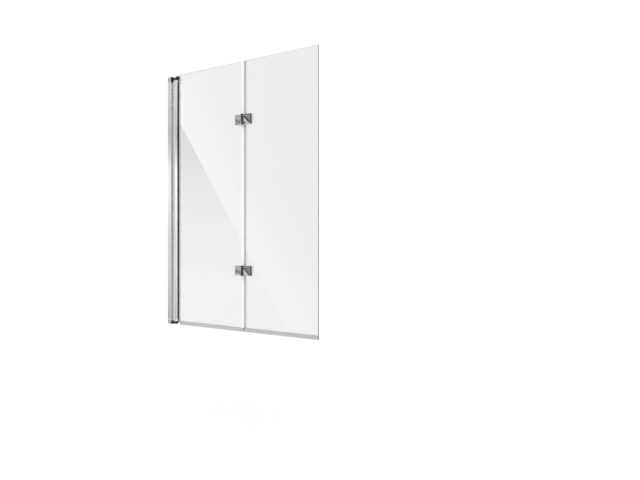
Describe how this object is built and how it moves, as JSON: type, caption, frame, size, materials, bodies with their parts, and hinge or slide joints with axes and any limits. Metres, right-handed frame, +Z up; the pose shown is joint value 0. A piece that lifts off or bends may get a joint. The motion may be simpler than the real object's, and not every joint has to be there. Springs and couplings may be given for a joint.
{
  "type": "folding bath screen",
  "caption": "Wall-hung glass bath screen with an adjustable wall channel, a swinging inner panel and an outer panel that folds flat against it.",
  "frame": {"origin": "where the wall meets the bath rim, in the middle plane of the glass", "axes": "+X from the wall along the screen, +Z up, -Y the side with the hinge knuckles, towards which the outer panel folds"},
  "size_m": [1, 0.048, 1.4],
  "materials": {
    "polished_aluminium": "polished and clear anodised",
    "satin_aluminium": "satin anodised",
    "plated_plastic": "chrome plated plastic",
    "hinge_chrome": "polished chrome on zinc",
    "stainless_steel": "plain turned",
    "black_plastic": "satin black moulding",
    "black_rubber": "matt extruded rubber",
    "grey_fibre": "matt pad",
    "white_nylon": "natural nylon",
    "clear_glass": "clear toughened glass with polished edges",
    "grey_seal": "translucent grey extrusion",
    "clear_seal": "translucent extrusion"
  },
  "bodies": {
    "wall_frame": {"wall_channel": "polished_aluminium", "wall_cap_bottom": "plated_plastic", "wall_cap_top": "plated_plastic", "clamp_screws": "stainless_steel", "clamp_nuts": "stainless_steel"},
    "sliding_post": {"sliding_post": "satin_aluminium", "bearing_bracket_bottom": "black_plastic", "bearing_bracket_top": "black_plastic", "bracket_screws": "stainless_steel", "pivot_pin_bottom": "stainless_steel", "pivot_pin_top": "stainless_steel"},
    "inner_panel": {"pivot_profile": "polished_aluminium", "pivot_block_bottom": "plated_plastic", "pivot_block_top": "plated_plastic", "pivot_bush_bottom": "white_nylon", "pivot_bush_top": "white_nylon", "glazing_plugs_bottom": "black_plastic", "glazing_plugs_top": "black_plastic", "gasket_front": "black_rubber", "gasket_back": "clear_seal", "glass_inner": "clear_glass", "bottom_seal_inner": "grey_seal", "joint_seal": "clear_seal", "lower_leaf_inner": "hinge_chrome", "upper_leaf_inner": "hinge_chrome", "lower_clamp_inner": "hinge_chrome", "upper_clamp_inner": "hinge_chrome", "hinge_pads_inner": "grey_fibre", "hole_sleeves_inner": "white_nylon", "hinge_screws_inner": "stainless_steel", "hinge_pins": "stainless_steel", "hinge_washers": "white_nylon"},
    "outer_panel": {"glass_outer": "clear_glass", "bottom_seal_outer": "grey_seal", "lower_leaf_outer": "hinge_chrome", "upper_leaf_outer": "hinge_chrome", "lower_clamp_outer": "hinge_chrome", "upper_clamp_outer": "hinge_chrome", "hinge_pads_outer": "grey_fibre", "hole_sleeves_outer": "white_nylon", "hinge_screws_outer": "stainless_steel", "hinge_bushes": "white_nylon"}
  },
  "joints": [
    {"name": "post_slide", "type": "slide", "parent": "wall_frame", "child": "sliding_post", "axis": [1, 0, 0], "range_m": [-0.0025, 0.009]},
    {"name": "screen_swing", "type": "hinge", "parent": "sliding_post", "child": "inner_panel", "pos_m": [0.0435, 0, 0], "axis": [0, 0, 1], "range_deg": [-90, 90]},
    {"name": "panel_fold", "type": "hinge", "parent": "inner_panel", "child": "outer_panel", "pos_m": [0.545, -0.018, 0], "axis": [0, 0, -1], "range_deg": [0, 180]}
  ]
}
